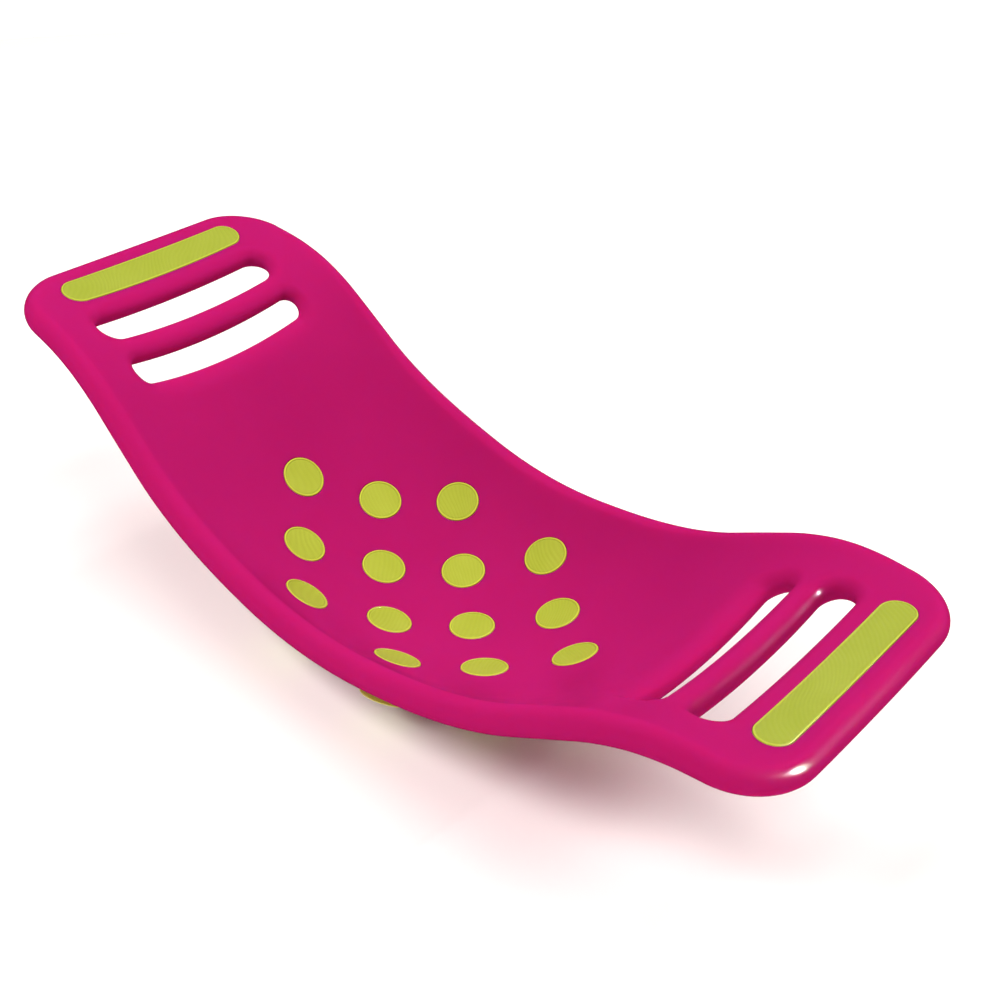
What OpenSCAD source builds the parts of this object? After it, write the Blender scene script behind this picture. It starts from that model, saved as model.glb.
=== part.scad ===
// Balance board: a hollow dished plank with finger slots at both ends,
// fourteen grip discs on top, a suction cup under each disc and a grip strip at each end.
// Millimetres. +X runs along the length, +Y across, +Z up.
// Origin: on the floor, under the middle of the board.

/* [Board] */
// Length of the plan outline; the lean of the rim adds about 3 mm at each end
board_len = 711.2; // [500:0.1:900]
// Width of the plan outline across the middle; the lean of the rim adds about 7 mm a side
board_wid = 275.2; // [200:0.1:350]
// How much each long side draws in towards the ends
side_draw = 13.4; // [0:0.1:30]
// Corner radius seen from above
corner_r = 47.8; // [30:0.1:90]
// Thickness between the top and the belly; the rim is a full round of half this
board_t = 21; // [16:0.5:30]
// Wall of the hollow moulding
wall = 3.5; // [2:0.1:5]

/* [Bowl] */
// Lengthwise radius of the bowl
bowl_r = 266; // [200:1:400]
// Slope where the bowl runs into the ramp, degrees
ramp_a = 41.3; // [20:0.1:50]
// Length of the straight ramp
ramp_len = 55.3; // [0:0.1:100]
// First crest radius
crest_r1 = 271.7; // [100:0.1:500]
// Slope between the two crest radii, degrees
crest_a = 33.1; // [15:0.1:45]
// Second crest radius
crest_r2 = 184.8; // [80:0.1:400]
// Slope of the end deck, degrees
deck_a = 15; // [0:0.1:25]
// Crosswise radius of the bowl
cross_r = 180.5; // [150:0.5:400]
// Where the crosswise bowl starts to fade, from the middle
fade_from = 52.8; // [0:0.1:200]
// Where the fade would end, from the middle
fade_to = 464.8; // [300:0.1:600]
// Share of the crosswise bowl at the end of the fade
fade_end = -0.2; // [-0.5:0.01:1]

/* [Finger slots] */
// Centre of the outer slot, from the middle
slot_a_x = 282.8; // [200:0.1:330]
// Outer slot length
slot_a_len = 173; // [100:0.1:200]
// Outer slot width, seen from above
slot_a_wid = 25.4; // [12:0.1:40]
// Centre of the inner slot, from the middle
slot_b_x = 240.4; // [180:0.1:300]
// Inner slot length
slot_b_len = 169.5; // [100:0.1:200]
// Inner slot width, seen from above
slot_b_wid = 19; // [10:0.1:40]
// How far the soft edge of a slot spreads over the board
slot_roll = 10; // [4:0.1:10]
// Depth of the narrowest part of a slot below the top
slot_neck = 9; // [6:0.1:14]
// How much further the outer slot's edge spreads on the strip side
slot_a_out = 1.3; // [1:0.05:1.4]
// How much further the inner slot's edge spreads on the bowl side
slot_b_in = 1.7; // [1:0.05:2]

/* [Grip discs] */
// Disc pitch along the length
disc_px = 47; // [35:0.1:60]
// Disc pitch across the width
disc_py = 43.1; // [35:0.1:60]
// Disc diameter
disc_d = 35; // [20:0.1:40]
// Disc thickness at its middle
disc_t = 3; // [2:0.1:5]
// Stem diameter
stem_d = 11; // [8:0.1:14]
// Clearance between rubber and moulding, per side
gap = 0.3; // [0.1:0.05:0.6]

/* [Suction cups] */
// Lip diameter
cup_d = 40; // [25:0.5:50]
// Height from the belly to the lip
cup_h = 9; // [6:0.5:14]
// Flange diameter where the cup meets the belly
cup_neck_d = 20.4; // [16:0.1:30]

/* [End strips] */
// Centre of the strip, from the middle
strip_x = 325; // [300:0.1:340]
// Strip length
strip_len = 178; // [100:0.1:220]
// Strip width, seen from above
strip_wid = 25.4; // [12:0.1:40]
// Depth of the strip's seat
strip_t = 2; // [1:0.1:3]
// How far the strip stands proud
strip_proud = 0.4; // [0:0.1:1]

/* [Hidden] */
$fn = 96;
half_len = board_len / 2;
half_wid = board_wid / 2;
mid_d = board_t / 2;
lime = [0.79, 0.82, 0.30];
pink = [0.77, 0.12, 0.42];

// Where the lengthwise profile changes from one piece to the next: [x, z]
k1 = [bowl_r * sin(ramp_a), bowl_r * (1 - cos(ramp_a))];
k2 = k1 + ramp_len * [cos(ramp_a), sin(ramp_a)];
k3 = k2 + crest_r1 * [sin(ramp_a) - sin(crest_a), cos(crest_a) - cos(ramp_a)];
k4 = k3 + crest_r2 * [sin(crest_a) - sin(deck_a), cos(deck_a) - cos(crest_a)];
c2 = k2 + crest_r1 * [sin(ramp_a), -cos(ramp_a)];
c3 = k3 + crest_r2 * [sin(crest_a), -cos(crest_a)];

// Height and slope of the lengthwise profile at distance x from the middle
function prof_z(x) =
    x < k1[0] ? bowl_r - sqrt(bowl_r * bowl_r - x * x) :
    x < k2[0] ? k1[1] + (x - k1[0]) * tan(ramp_a) :
    x < k3[0] ? c2[1] + sqrt(pow(crest_r1, 2) - pow(x - c2[0], 2)) :
    x < k4[0] ? c3[1] + sqrt(pow(crest_r2, 2) - pow(x - c3[0], 2)) :
    k4[1] + (x - k4[0]) * tan(deck_a);
function prof_s(x) =
    x < k1[0] ? x / sqrt(bowl_r * bowl_r - x * x) :
    x < k2[0] ? tan(ramp_a) :
    x < k3[0] ? (c2[0] - x) / sqrt(pow(crest_r1, 2) - pow(x - c2[0], 2)) :
    x < k4[0] ? (c3[0] - x) / sqrt(pow(crest_r2, 2) - pow(x - c3[0], 2)) :
    tan(deck_a);

// Share of the crosswise bowl at x, its slope, and the crosswise bowl itself
function fade_t(x) = max(0, min(1, (x - fade_from) / (fade_to - fade_from)));
function fade(x) = let(t = fade_t(x)) 1 + (fade_end - 1) * t * t * (3 - 2 * t);
function fade_s(x) = let(t = fade_t(x)) (fade_end - 1) * 6 * t * (1 - t) / (fade_to - fade_from);
function cross_z(y) = cross_r - sqrt(cross_r * cross_r - y * y);

// Height that the lowest lips need under the belly's lowest point
function lip_drop(r, p) = let(a = asin(p / r))
    (board_t + cup_h) * cos(a) + cup_d / 2 * sin(a) - r * (1 - cos(a));
stand = max(lip_drop(bowl_r, disc_px), lip_drop(cross_r, disc_py));

// Top surface point, unit normal, and the point a depth d below the top
function top_pt(x, y) = [x, y, stand + prof_z(abs(x)) + fade(abs(x)) * cross_z(y)];
function unit(v) = v / norm(v);
function top_n(x, y) = unit([
    -sign(x) * (prof_s(abs(x)) + fade_s(abs(x)) * cross_z(y)),
    -fade(abs(x)) * y / sqrt(cross_r * cross_r - y * y),
    1]);
function under(x, y, d) = top_pt(x, y) - d * top_n(x, y);

// Half width of the plan outline at x, drawn in by e all round
function plan_w(x) = half_wid - side_draw * pow(x / 350, 2);
corner_x = half_len - corner_r;
corner_y = plan_w(corner_x) - corner_r;

// Stations [x, half width] of the plan drawn in by e: n along each side, c round each corner
function stations(e, n, c) = let(
    side = [for (i = [0:n]) let(x = corner_x * i / n) [x, plan_w(x) - e]],
    turn = [for (i = [1:c]) let(a = 90 * i / c)
        [corner_x + (corner_r - e) * sin(a), corner_y + (corner_r - e) * cos(a)]],
    all = concat(side, turn), m = len(all) - 1)
    concat([for (i = [0:m - 1]) [-all[m - i][0], all[m - i][1]]], all);

// Slab that follows the board: h to each side of the mid surface, with a full round rim of radius h
module follow_slab(h, n, c, rows, rim) {
    st = stations(mid_d, n, c);
    ni = len(st);
    nj = 2 * rows + 1;
    grid = [for (s = st) for (j = [-rows:rows]) [s[0], s[1] * j / rows]];
    loop = concat(
        [for (i = [0:ni - 2]) i * nj],
        [for (j = [0:nj - 2]) (ni - 1) * nj + j],
        [for (i = [ni - 1:-1:1]) i * nj + nj - 1],
        [for (j = [nj - 1:-1:1]) j]);
    nl = len(loop);
    mids = [for (l = loop) under(grid[l][0], grid[l][1], mid_d)];
    rings = [for (k = [1:rim - 1]) for (l = [0:nl - 1])
        let(n = top_n(grid[loop[l]][0], grid[loop[l]][1]),
            t = mids[(l + 1) % nl] - mids[(l + nl - 1) % nl],
            a = 180 * k / rim)
        mids[l] + h * (cos(a) * n + sin(a) * unit(cross(t, n)))];
    pts = concat(
        [for (g = grid) under(g[0], g[1], mid_d - h)],
        [for (g = grid) under(g[0], g[1], mid_d + h)],
        rings);
    ng = ni * nj;
    function at(k, l) = k == 0 ? loop[l % nl] : k == rim ? ng + loop[l % nl] : 2 * ng + (k - 1) * nl + l % nl;
    faces = concat(
        [for (i = [0:ni - 2]) for (j = [0:nj - 2]) let(a = i * nj + j, b = a + 1, c = a + nj + 1, d = a + nj)
            each [[a, b, c], [a, c, d], [ng + a, ng + c, ng + b], [ng + a, ng + d, ng + c]]],
        [for (k = [0:rim - 1]) for (l = [0:nl - 1])
            each [[at(k, l), at(k, l + 1), at(k + 1, l + 1)], [at(k, l), at(k + 1, l + 1), at(k + 1, l)]]]);
    polyhedron(pts, faces, convexity = 6);
}

// Stadium shaped plug that follows the board. Seen from above it is len x wid, long across the board.
// Each level is [how far the outline is let out, depth below the top]; inner and outer scale
// the letting out on the side towards the middle of the board and on the other side.
module follow_plug(x0, len, wid, levels, cols = 2, arc = 5, straight = 12, inner = 1, outer = 1) {
    top_a = 84;
    rows = concat(
        [for (i = [0:arc]) [0, -top_a + top_a * i / arc]],
        [for (i = [1:straight]) [2 * i / straight, 0]],
        [for (i = [1:arc]) [2, top_a * i / arc]]);
    nr = len(rows);
    nc = cols + 1;
    nv = nr * nc;
    spine = len / 2 - wid / 2;
    pts = [for (lv = levels) for (r = rows) for (c = [0:cols])
        let(w = wid / 2 + lv[0], s = 2 * c / cols - 1, wx = wid / 2 + lv[0] * (s < 0 ? inner : outer))
        under(x0 + wx * cos(r[1]) * s, spine * (r[0] - 1) + w * sin(r[1]), lv[1])];
    loop = concat(
        [for (c = [0:cols - 1]) c],
        [for (r = [0:nr - 2]) r * nc + cols],
        [for (c = [cols:-1:1]) (nr - 1) * nc + c],
        [for (r = [nr - 1:-1:1]) r * nc]);
    nl = len(loop);
    m = len(levels) - 1;
    faces = concat(
        [for (r = [0:nr - 2]) for (c = [0:cols - 1]) let(a = r * nc + c, b = a + nc, d = a + 1, e = b + 1)
            each [[a, b, e], [a, e, d], [m * nv + a, m * nv + e, m * nv + b], [m * nv + a, m * nv + d, m * nv + e]]],
        [for (k = [0:m - 1]) for (l = [0:nl - 1])
            let(a = k * nv + loop[l], b = k * nv + loop[(l + 1) % nl], c = a + nv, d = b + nv)
            each [[a, b, d], [a, d, c]]]);
    polyhedron(pts, faces, convexity = 4);
}

// Both ends of the board
module both_ends() {
    children();
    mirror([1, 0, 0]) children();
}

// A slot through the board with soft edges top and bottom, and the tube of wall left round it
function soft(r, a) = slot_roll - r * sin(a);
slot_cut = concat(
    [[slot_roll + 2.8, -1.9]],
    [for (a = [30, 45, 60, 90]) [soft(slot_roll, a), slot_neck - 0.3 - (slot_neck - 0.3) * cos(a)]],
    [for (a = [90, 60, 45, 30]) [soft(slot_roll, a), slot_neck + 0.3 + (board_t - slot_neck - 0.3) * cos(a)]],
    [[slot_roll + 2.8, board_t + 1.9]]);
slot_tube = concat(
    [[slot_roll + 2.5, wall - 0.6]],
    [for (a = [45, 80]) [soft(slot_roll - wall, a) + 0.3, slot_neck - (slot_neck - wall) * cos(a)]],
    [for (a = [80, 45]) [soft(slot_roll - wall, a) + 0.3, slot_neck + (board_t - wall - slot_neck) * cos(a)]],
    [[slot_roll + 2.5, board_t - wall + 0.6]]);
module slots(levels, arc, straight) {
    both_ends() {
        follow_plug(slot_a_x, slot_a_len, slot_a_wid, levels, 2, arc, straight, outer = slot_a_out);
        follow_plug(slot_b_x, slot_b_len, slot_b_wid, levels, 2, arc, straight, inner = slot_b_in);
    }
}

// The fourteen disc sites as [x, y] steps of the two pitches, row by row
sites = [[-3, 0], [-2, -1], [-2, 1], [-1, -2], [-1, 0], [-1, 2], [0, -1],
    [0, 1], [1, -2], [1, 0], [1, 2], [2, -1], [2, 1], [3, 0]];

// Puts its children at site i, their +Z along the board's own normal there
module place(i) {
    x = sites[i][0] * disc_px;
    y = sites[i][1] * disc_py;
    n = top_n(x, y);
    translate(top_pt(x, y)) rotate([0, acos(n[2]), atan2(n[1], n[0])]) children();
}

// Dished face of a disc, matching the bowl: height at radius r
dish_r = (bowl_r + cross_r) / 2;
function dish(r) = dish_r - sqrt(dish_r * dish_r - r * r);

module board_shell() {
    color(pink) difference() {
        follow_slab(mid_d, 15, 5, 7, 6);
        // the hollow inside, less the walls round every slot, seat and bore
        difference() {
            follow_slab(mid_d - wall, 9, 3, 4, 4);
            slots(slot_tube, 3, 6);
            both_ends() follow_plug(strip_x, strip_len, strip_wid, [[3, 2], [3, wall + strip_t]], 1, 3, 6);
            for (i = [0:len(sites) - 1]) place(i) {
                translate([0, 0, -disc_t - wall]) cylinder(r = disc_d / 2 + wall, h = disc_t + wall);
                translate([0, 0, -board_t]) cylinder(r = stem_d / 2 + wall, h = board_t);
            }
        }
        slots(slot_cut, 4, 10);
        both_ends() follow_plug(strip_x, strip_len, strip_wid, [[gap, -4], [gap, strip_t + 0.1]]);
        for (i = [0:len(sites) - 1]) place(i) {
            translate([0, 0, -disc_t - 0.1]) cylinder(r = disc_d / 2 + gap, h = disc_t + 4);
            translate([0, 0, -board_t - 3]) cylinder(r = stem_d / 2 + gap, h = board_t + 3);
        }
    }
}

// Grip disc: a dished face inside a shallow groove and a rolled rim, on a stem with a button end
module grip_disc(i) {
    r = disc_d / 2;
    face = [for (k = [0:7]) let(q = (r - 2.7) * (1 - k / 7)) [q, dish(q)]];
    butt = board_t + 3.1;
    color(lime) place(i) rotate_extrude() polygon(concat(
        [[r - 0.2, -disc_t], [r, -disc_t + 0.2], [r, dish(r) - 0.4], [r - 0.25, dish(r)], [r - 0.75, dish(r) + 0.2],
            [r - 1.25, dish(r) + 0.1], [r - 1.75, dish(r) - 0.25], [r - 2.2, dish(r) - 0.4]],
        face,
        [[0, -butt - 2.2], [4, -butt - 2.2], [stem_d / 2 + 1.3, -butt - 0.9], [stem_d / 2 + 1.3, -butt], [stem_d / 2, -butt], [stem_d / 2, -disc_t]]));
}

// Suction cup: a flange on the belly and a thin bell that opens to a flat lip
module suction_cup(i) {
    rl = cup_d / 2;
    rn = cup_neck_d / 2;
    rs = stem_d / 2 + gap;
    z0 = -board_t;
    zl = -board_t - cup_h;
    bell = [for (k = [0:6]) let(a = 90 * k / 6) [rn + (rl - rn) * (1 - cos(a)), zl + 0.8 + (cup_h - 2.4) * (1 - sin(a))]];
    inner = [for (k = [6:-1:0]) let(a = 90 * k / 6) [rn - 1.4 + (rl - rn - 0.4) * (1 - cos(a)), zl + (cup_h - 3.6) * (1 - sin(a))]];
    color(lime) place(i) rotate_extrude() polygon(concat(
        [[rs, z0 - 0.1], [rn - 0.6, z0 - 0.1], [rn, z0 - 0.7]],
        bell, [[rl, zl]], inner,
        [[rs + 2.4, z0 - 3], [rs, z0 - 3]]));
}

// End grip strip: a soft pad let into the deck, following it
module end_strip() {
    color(lime) follow_plug(strip_x, strip_len, strip_wid,
        [[-1, -strip_proud], [-0.3, -strip_proud + 0.15], [0, 0.3], [0, strip_t]]);
}

board_shell();
end_strip();  // end_grip_strip_right
mirror([1, 0, 0]) end_strip();  // end_grip_strip_left
grip_disc(0);  // grip_disc_01
grip_disc(1);  // grip_disc_02
grip_disc(2);  // grip_disc_03
grip_disc(3);  // grip_disc_04
grip_disc(4);  // grip_disc_05
grip_disc(5);  // grip_disc_06
grip_disc(6);  // grip_disc_07
grip_disc(7);  // grip_disc_08
grip_disc(8);  // grip_disc_09
grip_disc(9);  // grip_disc_10
grip_disc(10);  // grip_disc_11
grip_disc(11);  // grip_disc_12
grip_disc(12);  // grip_disc_13
grip_disc(13);  // grip_disc_14
suction_cup(0);  // suction_cup_01
suction_cup(1);  // suction_cup_02
suction_cup(2);  // suction_cup_03
suction_cup(3);  // suction_cup_04
suction_cup(4);  // suction_cup_05
suction_cup(5);  // suction_cup_06
suction_cup(6);  // suction_cup_07
suction_cup(7);  // suction_cup_08
suction_cup(8);  // suction_cup_09
suction_cup(9);  // suction_cup_10
suction_cup(10);  // suction_cup_11
suction_cup(11);  // suction_cup_12
suction_cup(12);  // suction_cup_13
suction_cup(13);  // suction_cup_14
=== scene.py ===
import bpy
import math
import numpy as np
from mathutils import Vector, Matrix
from mathutils.geometry import delaunay_2d_cdt


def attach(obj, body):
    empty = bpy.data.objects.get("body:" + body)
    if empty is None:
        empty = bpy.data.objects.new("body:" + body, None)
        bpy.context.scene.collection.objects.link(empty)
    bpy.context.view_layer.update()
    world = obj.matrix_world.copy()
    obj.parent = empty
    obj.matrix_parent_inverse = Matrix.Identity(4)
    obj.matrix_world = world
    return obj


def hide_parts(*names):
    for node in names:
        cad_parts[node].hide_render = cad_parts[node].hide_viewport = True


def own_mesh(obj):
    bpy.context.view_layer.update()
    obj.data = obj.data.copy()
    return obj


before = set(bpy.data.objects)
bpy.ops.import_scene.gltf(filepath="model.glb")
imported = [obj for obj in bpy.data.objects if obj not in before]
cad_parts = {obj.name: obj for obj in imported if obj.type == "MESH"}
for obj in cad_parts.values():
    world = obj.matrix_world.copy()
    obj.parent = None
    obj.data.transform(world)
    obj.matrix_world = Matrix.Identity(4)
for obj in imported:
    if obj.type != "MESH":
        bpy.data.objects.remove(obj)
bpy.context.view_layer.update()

MM = 0.001
rng = np.random.default_rng(7)

# ---------------------------------------------------------------- the board's surface, in millimetres, as in part.scad
HALF_L, HALF_W, DRAW, CORNER = 355.6, 137.6, 13.4, 47.8
T = 21.0
RIM = T / 2
R1, A1, RAMP, R2, A2, R3, A3 = 266.0, math.radians(41.3), 55.3, 271.7, math.radians(33.1), 184.8, math.radians(15.0)
RC, XA, XB, CE = 180.5, 52.8, 464.8, -0.2
K1 = np.array([R1 * math.sin(A1), R1 * (1 - math.cos(A1))])
K2 = K1 + RAMP * np.array([math.cos(A1), math.sin(A1)])
K3 = K2 + R2 * np.array([math.sin(A1) - math.sin(A2), math.cos(A2) - math.cos(A1)])
K4 = K3 + R3 * np.array([math.sin(A2) - math.sin(A3), math.cos(A3) - math.cos(A2)])
C2 = K2 + R2 * np.array([math.sin(A1), -math.cos(A1)])
C3 = K3 + R3 * np.array([math.sin(A2), -math.cos(A2)])
DISC_PX, DISC_PY, DISC_R, DISC_T = 47.0, 43.1, 17.5, 3.0
STEM_R, GAP = 5.5, 0.3
CUP_R, CUP_H, NECK_R = 20.0, 9.0, 10.2
SLOTS = [(282.8, 173.0, 25.4, 1.0, 1.3), (240.4, 169.5, 19.0, 1.7, 1.0)]
ROLL, ROLL_D, THROAT = 10.0, 8.7, 0.6
STRIP_X, STRIP_L, STRIP_W, STRIP_T = 325.0, 178.0, 25.4, 2.0


def seg(x, a, b, c, d, e):
    return np.where(x < K1[0], a, np.where(x < K2[0], b, np.where(x < K3[0], c, np.where(x < K4[0], d, e))))


def prof_z(x):
    x = np.abs(x)
    return seg(x, R1 - np.sqrt(np.maximum(R1 ** 2 - x * x, 1)), K1[1] + (x - K1[0]) * math.tan(A1),
               C2[1] + np.sqrt(np.maximum(R2 ** 2 - (x - C2[0]) ** 2, 1)), C3[1] + np.sqrt(np.maximum(R3 ** 2 - (x - C3[0]) ** 2, 1)),
               K4[1] + (x - K4[0]) * math.tan(A3))


def prof_s(x):
    x = np.abs(x)
    return seg(x, x / np.sqrt(np.maximum(R1 ** 2 - x * x, 1)), math.tan(A1) + 0 * x,
               (C2[0] - x) / np.sqrt(np.maximum(R2 ** 2 - (x - C2[0]) ** 2, 1)), (C3[0] - x) / np.sqrt(np.maximum(R3 ** 2 - (x - C3[0]) ** 2, 1)),
               math.tan(A3) + 0 * x)


def fade_t(x):
    return np.clip((np.abs(x) - XA) / (XB - XA), 0, 1)


def fade(x):
    t = fade_t(x)
    return 1 + (CE - 1) * t * t * (3 - 2 * t)


def fade_s(x):
    t = fade_t(x)
    return (CE - 1) * 6 * t * (1 - t) / (XB - XA)


def cross_z(y):
    return RC - np.sqrt(RC * RC - y * y)


def lip_drop(r, p):
    a = math.asin(p / r)
    return (T + CUP_H) * math.cos(a) + CUP_R * math.sin(a) - r * (1 - math.cos(a))


STAND = max(lip_drop(R1, DISC_PX), lip_drop(RC, DISC_PY))


def top_pt(x, y):
    x, y = np.broadcast_arrays(np.asarray(x, float), np.asarray(y, float))
    return np.stack([x, y, STAND + prof_z(x) + fade(x) * cross_z(y)], -1)


def top_n(x, y):
    x, y = np.broadcast_arrays(np.asarray(x, float), np.asarray(y, float))
    n = np.stack([-np.sign(x) * (prof_s(x) + fade_s(x) * cross_z(y)), -fade(x) * y / np.sqrt(RC * RC - y * y), np.ones_like(x)], -1)
    return n / np.linalg.norm(n, axis=-1, keepdims=True)


def under(x, y, d):
    return top_pt(x, y) - np.asarray(d, float)[..., None] * top_n(x, y)


def plan_w(x):
    return HALF_W - DRAW * (x / 350.0) ** 2


CX = HALF_L - CORNER
CY = plan_w(CX) - CORNER


def outline(e, step=5.0):
    """Plan outline drawn in by e, counter-clockwise, closed, without a repeated point."""
    n = int(CX / step)
    x = np.linspace(0, CX, n + 1)
    side = np.stack([x, plan_w(x) - e], -1)
    a = np.radians(np.linspace(90, 0, 19)[1:])
    turn = np.stack([CX + (CORNER - e) * np.cos(a), CY + (CORNER - e) * np.sin(a)], -1)
    m = int(CY / step)
    end = np.stack([np.full(m, HALF_L - e), np.linspace(CY, 0, m + 1)[1:]], -1)
    q1 = np.concatenate([side, turn, end])                       # from (0, +w) to (+l, 0)
    q4 = q1[::-1][1:] * [1, -1]                                  # from (+l, 0) to (0, -w)
    right = np.concatenate([q1, q4])
    left = (right[::-1] * [-1, 1])[1:-1]
    return np.concatenate([right, left])[::-1]                   # counter-clockwise seen from above


def stadium(x0, length, width, out, arc=20, step=5.0, inner=1.0, outer=1.0, belly=0.0):
    """Points of a stadium let out by out, long along Y, counter-clockwise; the same count for every out.
    inner and outer scale out on the side towards the middle of the board and on the other side.
    belly swells the long sides a little, as a soft part does."""
    r = width / 2
    spine = length / 2 - r
    n = max(2, int(round(2 * spine / step)))
    wl, wr = r + out * inner, r + out * outer
    c, q = np.cos(np.radians(np.linspace(0, 180, arc + 1))), np.sin(np.radians(np.linspace(0, 180, arc + 1)))
    s = np.linspace(spine, -spine, n + 1)[1:-1]
    bow = belly * (1 - (s / spine) ** 2)
    top = np.stack([c * np.where(c > 0, wr, wl), spine + (r + out) * q], -1)
    lft = np.stack([-wl - bow, s], -1)
    bot = np.stack([-c * np.where(c > 0, wl, wr), -spine - (r + out) * q], -1)
    rgt = np.stack([wr + bow, -s], -1)
    return np.concatenate([top, lft, bot, rgt]) + [x0, 0]


SITES = [(-3, 0), (-2, -1), (-2, 1), (-1, -2), (-1, 0), (-1, 2), (0, -1), (0, 1), (1, -2), (1, 0), (1, 2), (2, -1), (2, 1), (3, 0)]


def site_frame(i):
    """Origin and axes (columns) of site i: z is the board's normal there."""
    x, y = SITES[i][0] * DISC_PX, SITES[i][1] * DISC_PY
    p, n = top_pt(x, y), top_n(x, y)
    e1 = np.array([1.0, 0, 0]) - n[0] * n
    e1 /= np.linalg.norm(e1)
    return p, np.stack([e1, np.cross(n, e1), n], 1)


def on_site(i, rho, depth, count=48):
    """Surface parameters (x, y) whose points at depth lie on a cylinder of radius rho about site i's axis."""
    p, f = site_frame(i)
    a = 2 * math.pi * np.arange(count) / count
    want = rho * np.stack([np.cos(a), np.sin(a)], -1)
    q = p[:2] + want @ f[:2, :2].T
    for _ in range(12):
        got = (under(q[:, 0], q[:, 1], depth) - p) @ f[:, :2]
        q = q + 0.8 * (want - got) @ f[:2, :2].T
    return q


# ---------------------------------------------------------------- mesh helpers
class Build:
    def __init__(self):
        self.v, self.f, self.n = [], [], 0

    def add(self, pts):
        pts = np.asarray(pts, float)
        self.v.append(pts)
        self.n += len(pts)
        return np.arange(self.n - len(pts), self.n)

    def band(self, a, b):
        """Quads between closed loops a and b of the same count."""
        a2, b2 = np.roll(a, -1), np.roll(b, -1)
        self.f += [tuple(map(int, q)) for q in np.stack([a, a2, b2, b], -1)]

    def fan(self, a, c):
        a2 = np.roll(a, -1)
        self.f += [(int(p), int(q), int(c)) for p, q in zip(a, a2)]

    def mesh(self, name, smooth=True):
        me = bpy.data.meshes.new(name)
        me.from_pydata((np.concatenate(self.v) * MM).tolist(), [], self.f)
        me.validate()
        me.update()
        if smooth:
            me.shade_smooth()
        return me


def inside(poly, q):
    """Even-odd test of points q against a closed polygon."""
    x, y = q[:, 0], q[:, 1]
    px, py = poly[:, 0], poly[:, 1]
    qx, qy = np.roll(px, -1), np.roll(py, -1)
    hit = np.zeros(len(q), bool)
    for i in range(len(poly)):
        c = (py[i] > y) != (qy[i] > y)
        if c.any():
            hit[c] ^= x[c] < (qx[i] - px[i]) * (y[c] - py[i]) / (qy[i] - py[i]) + px[i]
    return hit


def fill(b, outer, holes, lift, step=5.0, flip=False):
    """Triangulates the plan region inside outer and outside holes. outer and holes are (index array, plan points)."""
    loops = [outer] + holes
    plan = np.concatenate([l[1] for l in loops])
    ids = np.concatenate([l[0] for l in loops])
    lo, hi = outer[1].min(0), outer[1].max(0)
    h = step * math.sqrt(3) / 2
    rows = np.arange(lo[1], hi[1], h)
    g = np.concatenate([np.stack([np.arange(lo[0] + (k % 2) * step / 2, hi[0], step), np.full(len(np.arange(lo[0] + (k % 2) * step / 2, hi[0], step)), r)], -1)
                        for k, r in enumerate(rows)])
    g = g[inside(outer[1], g)]
    for _, h_ in holes:
        g = g[~inside(h_, g)]
    keep = np.ones(len(g), bool)
    for s in range(0, len(g), 2000):
        d = ((g[s:s + 2000, None, :] - plan[None]) ** 2).sum(-1).min(1)
        keep[s:s + 2000] = d > (0.55 * step) ** 2
    g = g[keep]
    gi = b.add(lift(g[:, 0], g[:, 1]))
    allp = np.concatenate([plan, g])
    alli = np.concatenate([ids, gi])
    edges, k = [], 0
    for l in loops:
        m = len(l[1])
        edges += [(k + j, k + (j + 1) % m) for j in range(m)]
        k += m
    out_v, _, out_f, orig_v, _, _ = delaunay_2d_cdt([Vector(p) for p in allp.tolist()], edges, [], 0, 1e-6)
    back = [o[0] if o else -1 for o in orig_v]
    tri = np.array([[back[i] for i in t] for t in out_f])
    tri = tri[(tri >= 0).all(1)]
    c = allp[tri].mean(1)
    ok = inside(outer[1], c)
    for _, h_ in holes:
        ok &= ~inside(h_, c)
    tri = tri[ok]
    p = allp[tri]
    area = np.cross(p[:, 1] - p[:, 0], p[:, 2] - p[:, 0])
    tri[area < 0] = tri[area < 0][:, ::-1]
    tri = tri[np.abs(area) > 1e-9]
    if flip:
        tri = tri[:, ::-1]
    b.f += [tuple(map(int, t)) for t in alli[tri]]


def obj_from(me, name, body, mat):
    o = bpy.data.objects.new(name, me)
    bpy.context.scene.collection.objects.link(o)
    me.materials.append(mat)
    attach(o, body)
    return o


def paint_rim_highlight(o, dist, lo, hi):
    """Marks the points nearer than lo to the edge as rim, fading out at hi; the silicone paints a lighter rim highlight
    on these points, standing in for the glint along the rounded edge.
    """
    v = np.array([tuple(c.co) for c in o.data.vertices]) / MM
    t = np.clip((hi - dist(v)) / (hi - lo), 0, 1)
    at = o.data.attributes.new("rim", "FLOAT", "POINT")
    at.data.foreach_set("value", t.astype(np.float32))


# ---------------------------------------------------------------- materials
def rgb(r, g, b):
    """sRGB 0-255 to the linear values that shaders take."""
    f = lambda c: c / 255 / 12.92 if c / 255 <= 0.04045 else ((c / 255 + 0.055) / 1.055) ** 2.4
    return (f(r), f(g), f(b), 1.0)


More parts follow.
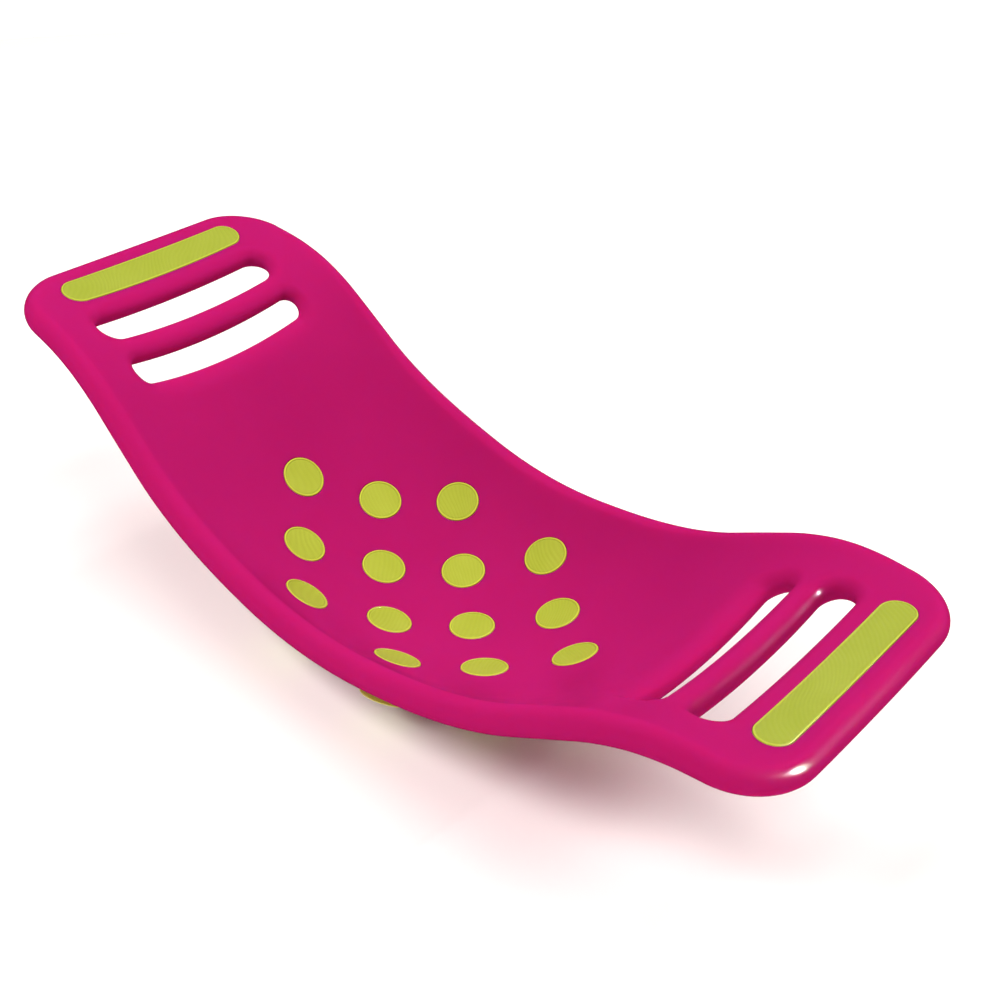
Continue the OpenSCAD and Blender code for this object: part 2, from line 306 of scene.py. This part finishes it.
class Mat:
    def __init__(self, name):
        self.m = bpy.data.materials.new(name)
        self.m.use_nodes = True
        self.nt = self.m.node_tree
        self.b = self.nt.nodes["Principled BSDF"]
        self.co = self.nt.nodes.new("ShaderNodeTexCoord").outputs["Object"]

    def new(self, kind, **values):
        n = self.nt.nodes.new(kind)
        for k, v in values.items():
            if hasattr(n, k) and k not in n.inputs:
                setattr(n, k, v)
            else:
                n.inputs[k].default_value = v
        return n

    def link(self, a, b):
        self.nt.links.new(a, b)

    def noise(self, scale, detail=3.0, rough=0.5, src=None):
        n = self.new("ShaderNodeTexNoise")
        n.inputs["Scale"].default_value = scale
        n.inputs["Detail"].default_value = detail
        n.inputs["Roughness"].default_value = rough
        self.link(src or self.co, n.inputs["Vector"])
        return n.outputs["Fac"]

    def ramp(self, fac, stops):
        r = self.new("ShaderNodeValToRGB")
        e = r.color_ramp.elements
        while len(e) < len(stops):
            e.new(0.5)
        for k, (p, c) in enumerate(stops):
            e[k].position = p
            e[k].color = c if len(c) == 4 else (*c, 1)
        self.link(fac, r.inputs["Fac"])
        return r.outputs["Color"]

    def span(self, fac, lo, hi, a=0.0, b=1.0):
        n = self.new("ShaderNodeMapRange")
        for k, v in (("From Min", a), ("From Max", b), ("To Min", lo), ("To Max", hi)):
            n.inputs[k].default_value = v
        self.link(fac, n.inputs["Value"])
        return n.outputs["Result"]

    def bump(self, height, strength, distance, normal=None):
        n = self.new("ShaderNodeBump")
        n.inputs["Strength"].default_value = strength
        n.inputs["Distance"].default_value = distance
        self.link(height, n.inputs["Height"])
        if normal is not None:
            self.link(normal, n.inputs["Normal"])
        return n.outputs["Normal"]


def shell_plastic():
    """Moulded polyethylene: saturated pink all through, a soft satin skin with a faint ripple, fine grain and light handling marks."""
    m = Mat("shell_plastic")
    broad = m.noise(9.0, 3.0)
    col = m.ramp(broad, [(0.30, rgb(158, 19, 89)), (0.55, rgb(160, 20, 90)), (0.75, rgb(162, 21, 91))])
    m.link(col, m.b.inputs["Base Color"])
    rough = m.noise(60.0, 2.0, 0.5)
    m.link(m.span(rough, 0.19, 0.24, 0.3, 0.7), m.b.inputs["Roughness"])
    m.b.inputs["IOR"].default_value = 1.50
    m.b.inputs["Specular IOR Level"].default_value = 0.11
    m.b.inputs["Subsurface Weight"].default_value = 1.0
    m.b.inputs["Subsurface Radius"].default_value = (0.022, 0.0040, 0.0065)
    m.b.inputs["Subsurface Scale"].default_value = 1.0
    ripple = m.bump(m.noise(38.0, 2.0, 0.4), 0.25, 0.0004)
    grain = m.bump(m.noise(900.0, 1.0, 0.4), 0.06, 0.00006, ripple)
    m.link(grain, m.b.inputs["Normal"])
    return m.m


def silicone(name, lo, hi, rim_highlight, wave=True, sss=0.12):
    """Soft lime silicone, slightly see-through, with fine swirling grip ridges like a fingerprint; painted shade
    darkens the colour in the low parts of the ridges, and a painted highlight lightens it along the rim.
    """
    m = Mat(name)
    col = m.ramp(m.noise(30.0, 3.0), [(0.3, lo), (0.7, hi)])
    # painted highlight: where the rim attribute is set, along the edge, the colour is blended toward a lighter tone
    # that stands in for the glint on the rounded rim
    rim = m.new("ShaderNodeAttribute")
    rim.attribute_name = "rim"
    rim_highlight_mix = m.new("ShaderNodeMix")
    rim_highlight_mix.data_type = "RGBA"
    m.link(rim.outputs["Fac"], rim_highlight_mix.inputs["Factor"])
    m.link(col, rim_highlight_mix.inputs["A"])
    rim_highlight_mix.inputs["B"].default_value = rim_highlight
    col = rim_highlight_mix.outputs["Result"]
    m.b.inputs["Roughness"].default_value = 0.46
    m.b.inputs["Specular IOR Level"].default_value = 0.2
    m.b.inputs["IOR"].default_value = 1.41
    m.b.inputs["Subsurface Weight"].default_value = sss
    m.b.inputs["Subsurface Radius"].default_value = (0.006, 0.006, 0.002)
    m.b.inputs["Subsurface Scale"].default_value = 0.5
    if wave:
        w = m.new("ShaderNodeTexWave")
        w.wave_type = "BANDS"
        w.bands_direction = "DIAGONAL"
        w.inputs["Scale"].default_value = 130.0
        w.inputs["Distortion"].default_value = 38.0
        w.inputs["Detail"].default_value = 0.6
        w.inputs["Detail Scale"].default_value = 0.13
        w.inputs["Detail Roughness"].default_value = 0.4
        m.link(m.co, w.inputs["Vector"])
        groove = w.outputs["Fac"]
        # painted shade: the colour is multiplied darker in the low parts of the ridges, following the same wave that
        # raises the bump
        groove_shade_mix = m.new("ShaderNodeMix")
        groove_shade_mix.data_type = "RGBA"
        groove_shade_mix.blend_type = "MULTIPLY"
        m.link(m.span(groove, 0.16, 0.0), groove_shade_mix.inputs["Factor"])
        m.link(col, groove_shade_mix.inputs["A"])
        groove_shade_mix.inputs["B"].default_value = (0.78, 0.80, 0.62, 1)
        m.link(groove_shade_mix.outputs["Result"], m.b.inputs["Base Color"])
        m.link(m.bump(groove, 0.5, 0.00025, m.bump(m.noise(1600.0, 2.0), 0.1, 0.0001)), m.b.inputs["Normal"])
    else:
        m.link(col, m.b.inputs["Base Color"])
        m.link(m.bump(m.noise(1200.0, 2.0), 0.1, 0.0001), m.b.inputs["Normal"])
    return m.m


PINK = shell_plastic()
# the last colour of each silicone is its painted rim highlight; the cups get none
LIME = silicone("lime_silicone", rgb(150, 157, 50), rgb(156, 162, 56), rgb(180, 181, 62))
STRIP_MAT = silicone("strip_silicone", rgb(139, 147, 49), rgb(144, 151, 55), rgb(166, 171, 58))
# painted light: the cups get a paler lime than the discs, so that they stay light in the shade under the board
CUP_MAT = silicone("cup_silicone", rgb(196, 202, 104), rgb(202, 207, 112), rgb(202, 207, 112), wave=False, sss=0.6)


# ---------------------------------------------------------------- board shell
def board_shell():
    b = Build()
    # rim: full round between top and belly
    ring = outline(RIM, 4.0)
    n = top_n(ring[:, 0], ring[:, 1])
    mid = under(ring[:, 0], ring[:, 1], RIM)
    t = np.roll(mid, -1, 0) - np.roll(mid, 1, 0)
    out = np.cross(t, n)
    out /= np.linalg.norm(out, axis=1, keepdims=True)
    K = 20
    rings = []
    for k in range(K + 1):
        a = math.pi * k / K
        rings.append(b.add(mid + RIM * (math.cos(a) * n + math.sin(a) * out)))
    for k in range(K):
        b.band(rings[k + 1], rings[k])
    top_holes, bot_holes = [], []
    # finger slots: soft roll-in, straight throat, roll-out below
    th = np.radians(np.linspace(0, 90, 15))
    prof = [(ROLL * (1 - math.sin(a)), ROLL_D * (1 - math.cos(a))) for a in th]
    prof += [(ROLL * (1 - math.sin(a)), T - (T - ROLL_D - THROAT) * (1 - math.cos(a))) for a in th[::-1]]
    for x0, length, width, inner, outer in SLOTS:
        for sg in (1, -1):
            loops = []
            for o, d in prof:
                q = stadium(x0, length, width, o, inner=inner, outer=outer)
                if sg < 0:
                    q = (q * [-1, 1])[::-1]
                loops.append((b.add(under(q[:, 0], q[:, 1], d)), q))
            for l0, l1 in zip(loops, loops[1:]):
                b.band(l0[0], l1[0])
            top_holes.append(loops[0])
            bot_holes.append(loops[-1])
    # strip seats
    for sg in (1, -1):
        loops = []
        for o, d in [(GAP + 0.7, 0.0), (GAP + 0.45, 0.04), (GAP + 0.2, 0.2), (GAP + 0.05, 0.45), (GAP, 0.8), (GAP, STRIP_T + 0.1)]:
            q = stadium(STRIP_X, STRIP_L, STRIP_W, o)
            if sg < 0:
                q = (q * [-1, 1])[::-1]
            loops.append((b.add(under(q[:, 0], q[:, 1], d)), q))
        for l0, l1 in zip(loops, loops[1:]):
            b.band(l0[0], l1[0])
        top_holes.append(loops[0])
        fill(b, loops[-1], [], lambda x, y: under(x, y, STRIP_T + 0.1), 6.0)
    # disc seats with a bore to the belly
    for i in range(len(SITES)):
        p, f = site_frame(i)
        r = DISC_R + GAP
        q0 = on_site(i, r + 0.8, 0.0)
        edge = b.add(top_pt(q0[:, 0], q0[:, 1]))
        a = 2 * math.pi * np.arange(48) / 48
        local = (top_pt(q0[:, 0], q0[:, 1]) - p) @ f
        prev = edge
        for k in range(1, 6):
            w = math.radians(18 * k)
            rr, dz = r + 0.8 * (1 - math.sin(w)), 0.8 * (1 - math.cos(w))
            pts = np.stack([rr * np.cos(a), rr * np.sin(a), local[:, 2] - dz], -1)
            cur = b.add(p + pts @ f.T)
            b.band(prev, cur)
            prev = cur
        for rr, z in ((r, -DISC_T - 0.1), (STEM_R + GAP, -DISC_T - 0.1)):
            cur = b.add(p + np.stack([rr * np.cos(a), rr * np.sin(a), np.full(48, z)], -1) @ f.T)
            b.band(prev, cur)
            prev = cur
        qb = on_site(i, STEM_R + GAP, T)
        cur = b.add(under(qb[:, 0], qb[:, 1], T))
        b.band(prev, cur)
        top_holes.append((edge, q0))
        bot_holes.append((cur, qb))
    fill(b, (rings[0], ring), top_holes, lambda x, y: top_pt(x, y), 4.5)
    fill(b, (rings[-1], ring), bot_holes, lambda x, y: under(x, y, T), 5.5, flip=True)
    return b


bs = board_shell()
shell = obj_from(bs.mesh("shell_surface"), "board_shell_visual", "board", PINK)
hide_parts("board_shell")


# ---------------------------------------------------------------- rubber pieces
def lathe(b, f, p, prof, count=64, ring=False):
    """Turned solid about a site's axis from (radius, height) pairs; radius 0 closes with a fan, ring joins the last pair to the first."""
    a = 2 * math.pi * np.arange(count) / count
    prev = first = None
    for r, z in prof:
        if r == 0:
            c = int(b.add((p + np.array([0, 0, z]) @ f.T)[None])[0])
            if prev is not None:
                b.fan(prev[::-1], c)
            else:
                first = c
            prev = None
            continue
        cur = b.add(p + np.stack([r * np.cos(a), r * np.sin(a), np.full(count, z)], -1) @ f.T)
        if prev is not None:
            b.band(cur, prev)
        elif isinstance(first, int):
            b.fan(cur, first)
        if first is None:
            first = cur
        prev = cur
    if ring:
        b.band(first, prev)


def arc2(cx, cz, r, a0, a1, n):
    return [(cx + r * math.cos(math.radians(a0 + (a1 - a0) * k / n)), cz + r * math.sin(math.radians(a0 + (a1 - a0) * k / n))) for k in range(n + 1)]


DISH = (R1 + RC) / 2


def dish(r):
    return DISH - math.sqrt(DISH * DISH - r * r)


def grip_disc(i):
    """From the middle of the face out over a groove and a rolled rim, down the side, in to the stem and its button."""
    p, f = site_frame(i)
    b = Build()
    R = DISC_R
    prof = [(0, 0.0)] + [(R * 0.08 * k, dish(R * 0.08 * k)) for k in range(1, 11)]
    z0 = dish(R - 2.6)
    prof += [(R - 2.9, z0), (R - 2.6, z0 - 0.04), (R - 2.3, z0 - 0.22), (R - 2.0, z0 - 0.25), (R - 1.75, z0 - 0.12)]
    prof += arc2(R - 1.0, z0 - 0.35, 0.75, 165, 90, 5)
    prof += arc2(R - 0.75, z0 - 0.35, 0.75, 85, 0, 6)
    prof += [(R, -1.5), (R, -DISC_T + 0.2), (R - 0.2, -DISC_T), (STEM_R + 0.6, -DISC_T), (STEM_R, -DISC_T - 0.6)]
    butt = T + 3.1
    prof += [(STEM_R, -12.0), (STEM_R, -butt), (STEM_R + 1.1, -butt), (STEM_R + 1.3, -butt - 0.2), (STEM_R + 1.3, -butt - 0.9), (STEM_R + 0.4, -butt - 1.6), (4.0, -butt - 2.1), (3.4, -butt - 2.2), (0, -butt - 2.2)]
    lathe(b, f, p, prof)
    o = obj_from(b.mesh("disc_%02d" % (i + 1)), "grip_disc_%02d_visual" % (i + 1), "board", LIME)
    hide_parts("grip_disc_%02d" % (i + 1))
    o.visible_glossy = False
    # painted highlight: a lighter band of colour within about 1.6 mm of the disc's edge
    paint_rim_highlight(o, lambda v: DISC_R - np.linalg.norm(((v - p) @ f)[:, :2], axis=1), 0.95, 1.6)
    return o


def suction_cup(i):
    """Flange on the belly, flared bell, thin lip, hollow inside."""
    p, f = site_frame(i)
    b = Build()
    rs, z0, zl = STEM_R + GAP, -T, -T - CUP_H
    prof = [(rs, z0 - 0.1), (NECK_R - 0.7, z0 - 0.1)] + arc2(NECK_R - 0.7, z0 - 0.8, 0.7, 80, 0, 4)
    n = 14
    for k in range(n + 1):
        a = math.radians(90 * k / n)
        prof.append((NECK_R + (CUP_R - 0.25 - NECK_R) * (1 - math.cos(a)), zl + 0.8 + (CUP_H - 2.4) * (1 - math.sin(a))))
    prof += arc2(CUP_R - 0.35, zl + 0.42, 0.35, 60, -60, 4) + [(CUP_R - 0.45, zl)]
    prof += [(CUP_R - 1.8, zl)]
    for k in range(n, -1, -1):
        a = math.radians(90 * k / n)
        prof.append((NECK_R - 1.4 + (CUP_R - NECK_R - 0.6) * (1 - math.cos(a)), zl + 0.15 + (CUP_H - 3.6) * (1 - math.sin(a))))
    prof += [(rs + 2.4, z0 - 3.0), (rs, z0 - 3.0)]
    lathe(b, f, p, prof, ring=True)
    o = obj_from(b.mesh("cup_%02d" % (i + 1)), "suction_cup_%02d_visual" % (i + 1), "board", CUP_MAT)
    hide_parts("suction_cup_%02d" % (i + 1))
    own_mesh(o)
    return o


def end_strip(sg, name):
    """Soft pad that stands a little proud of its seat, with a rounded edge and a groove inside it."""
    b = Build()
    loops = []
    for o, d in [(0.0, STRIP_T), (0.0, 0.35), (-0.08, 0.0), (-0.3, -0.25), (-0.65, -0.38), (-1.0, -0.40), (-1.35, -0.32), (-1.6, -0.12), (-1.85, -0.02), (-2.1, -0.06), (-2.5, -0.16)]:
        q = stadium(STRIP_X, STRIP_L, STRIP_W, o, belly=0.12)
        if sg < 0:
            q = (q * [-1, 1])[::-1]
        loops.append((b.add(under(q[:, 0], q[:, 1], d)), q))
    for l0, l1 in zip(loops, loops[1:]):
        b.band(l0[0], l1[0])
    fill(b, loops[-1], [], lambda x, y: under(x, y, -0.16), 4.0)
    fill(b, loops[0], [], lambda x, y: under(x, y, STRIP_T), 6.0, flip=True)
    o = obj_from(b.mesh(name), "end_grip_strip_%s_visual" % name, "board", STRIP_MAT)
    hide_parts("end_grip_strip_%s" % name)
    spine = STRIP_L / 2 - STRIP_W / 2
    # painted highlight: a lighter band of colour within about 1.4 mm of the strip's edge
    paint_rim_highlight(o, lambda v: STRIP_W / 2 - np.hypot(np.abs(v[:, 0]) - STRIP_X, np.clip(np.abs(v[:, 1]) - spine, 0, None)), 0.9, 1.4)
    return o


for i in range(len(SITES)):
    grip_disc(i)
    suction_cup(i)
end_strip(1, "right")
end_strip(-1, "left")

# ---------------------------------------------------------------- floor, light, camera
def plain_floor():
    me = bpy.data.meshes.new("floor")
    ring = [(1.3 * math.cos(math.pi * k / 64), 1.3 * math.sin(math.pi * k / 64), 0.0) for k in range(128)]
    me.from_pydata(ring, [], [list(range(128))])
    o = bpy.data.objects.new("floor", me)
    bpy.context.scene.collection.objects.link(o)
    m = bpy.data.materials.new("floor_white")
    m.use_nodes = True
    p = m.node_tree.nodes["Principled BSDF"]
    p.inputs["Base Color"].default_value = (0.93, 0.875, 0.845, 1)
    p.inputs["Roughness"].default_value = 0.7
    p.inputs["Specular IOR Level"].default_value = 0.2
    me.materials.append(m)
    o.visible_glossy = False      # a matt sweep: its glare stays off the moulding


plain_floor()


def area(name, loc, target, size, power, color=(1, 1, 1), size_y=None):
    l = bpy.data.lights.new(name, "AREA")
    l.energy = power
    l.color = color
    l.size = size
    if size_y:
        l.shape = "RECTANGLE"
        l.size_y = size_y
    o = bpy.data.objects.new(name, l)
    bpy.context.scene.collection.objects.link(o)
    o.location = loc
    o.rotation_euler = (Vector(target) - Vector(loc)).to_track_quat("-Z", "Y").to_euler()
    return o


def soft(*args, **kw):
    """Fill panel: lights the form evenly without showing up as a reflection."""
    o = area(*args, **kw)
    o.visible_glossy = False
    return o


soft("key_front", (-0.6, -1.7, 2.1), (0.03, -0.05, 0.05), 0.9, 74)
soft("key_back", (0.4, 1.8, 2.0), (0.03, -0.05, 0.05), 1.4, 59)
soft("fill_top", (0.1, 0.1, 2.6), (0.03, -0.05, 0.05), 2.0, 33)
soft("fill_right", (2.2, -0.4, 0.5), (0.0, 0.0, 0.12), 1.0, 24)
glint = area("glint_corner", (2.08, 0.65, 1.63), (0.34, -0.10, 0.19), 0.36, 2.4, size_y=0.06)
glint.visible_diffuse = False
glint.data.spread = math.radians(5)      # a narrow beam that only reaches the near corner

world = bpy.data.worlds.new("studio")
bpy.context.scene.world = world
world.use_nodes = True
world.node_tree.nodes["Background"].inputs["Color"].default_value = (1, 1, 1, 1)
world.node_tree.nodes["Background"].inputs["Strength"].default_value = 1.05
world.cycles_visibility.glossy = False
world.cycles_visibility.diffuse = False      # a white backdrop to look at; the panels do the lighting
bpy.context.scene.view_settings.view_transform = "Standard"

# camera: the picture's own viewing angle
YAW, PITCH, ROLL = math.radians(36.963), math.radians(37.283), math.radians(-7.251)
fwd = np.array([-math.sin(YAW) * math.cos(PITCH), math.cos(YAW) * math.cos(PITCH), -math.sin(PITCH)])
right = np.array([math.cos(YAW), math.sin(YAW), 0.0])
down = np.cross(fwd, right)
r2 = math.cos(ROLL) * right + math.sin(ROLL) * down
d2 = -math.sin(ROLL) * right + math.cos(ROLL) * down
cam_data = bpy.data.cameras.new("camera")
cam = bpy.data.objects.new("camera", cam_data)
bpy.context.scene.collection.objects.link(cam)
m4 = Matrix.Identity(4)
for r in range(3):
    m4[r][0], m4[r][1], m4[r][2] = r2[r], -d2[r], -fwd[r]
    m4[r][3] = (527.44, -674.00, 752.79 + STAND)[r] * MM
cam.matrix_world = m4
cam_data.sensor_width = 36.0
cam_data.lens = 1446.43 / 1001 * 36.0
cam_data.shift_x = (500.5 - 460.0) / 1001
cam_data.clip_end = 50
bpy.context.scene.camera = cam
